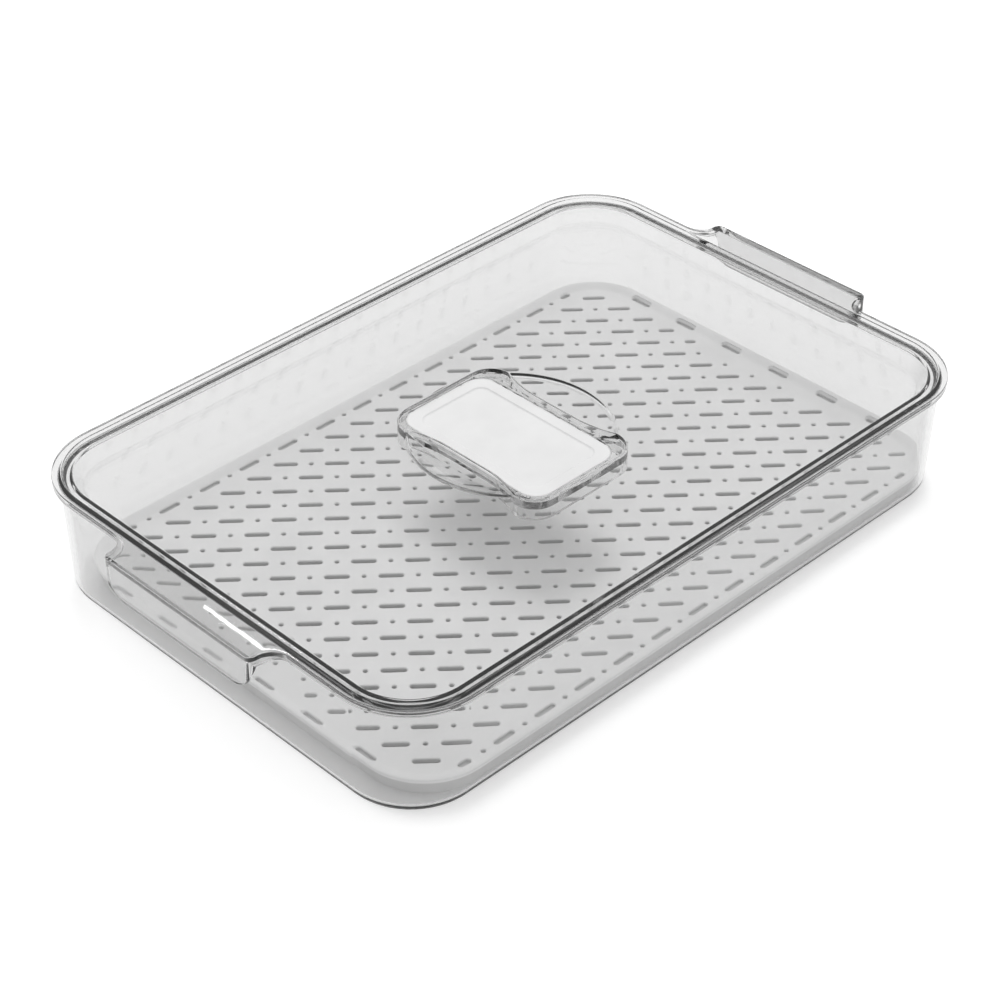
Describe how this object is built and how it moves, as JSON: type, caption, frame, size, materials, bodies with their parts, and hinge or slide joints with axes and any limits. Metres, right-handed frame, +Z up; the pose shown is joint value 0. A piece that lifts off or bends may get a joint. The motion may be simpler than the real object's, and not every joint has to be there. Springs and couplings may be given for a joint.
{
  "type": "fridge bin",
  "caption": "Shallow clear fridge bin with end handles, a drop-in lid with a sunken waisted grip, and a slotted drain tray that lifts out.",
  "frame": {"origin": "centre of the bin's flat underside, level with the surface it stands on", "axes": "+X along the bin's length towards one handle, +Y across its width, +Z up"},
  "size_m": [0.332, 0.2124, 0.0506],
  "materials": {
    "clear_bin": "clear gloss moulding",
    "clear_lid": "clear gloss moulding",
    "white_insert": "fine satin",
    "tray_plastic": "satin"
  },
  "bodies": {
    "bin": {"bin": "clear_bin"},
    "tray": {"drain_tray": "tray_plastic"},
    "lid": {"lid": "clear_lid", "grip_insert": "white_insert"}
  },
  "joints": [
    {"name": "tray_lift", "type": "slide", "parent": "bin", "child": "tray", "axis": [0, 0, 1], "range_m": [0, 0.08]},
    {"name": "lid_lift", "type": "slide", "parent": "tray", "child": "lid", "axis": [0, 0, 1], "range_m": [0, 0.1]}
  ]
}
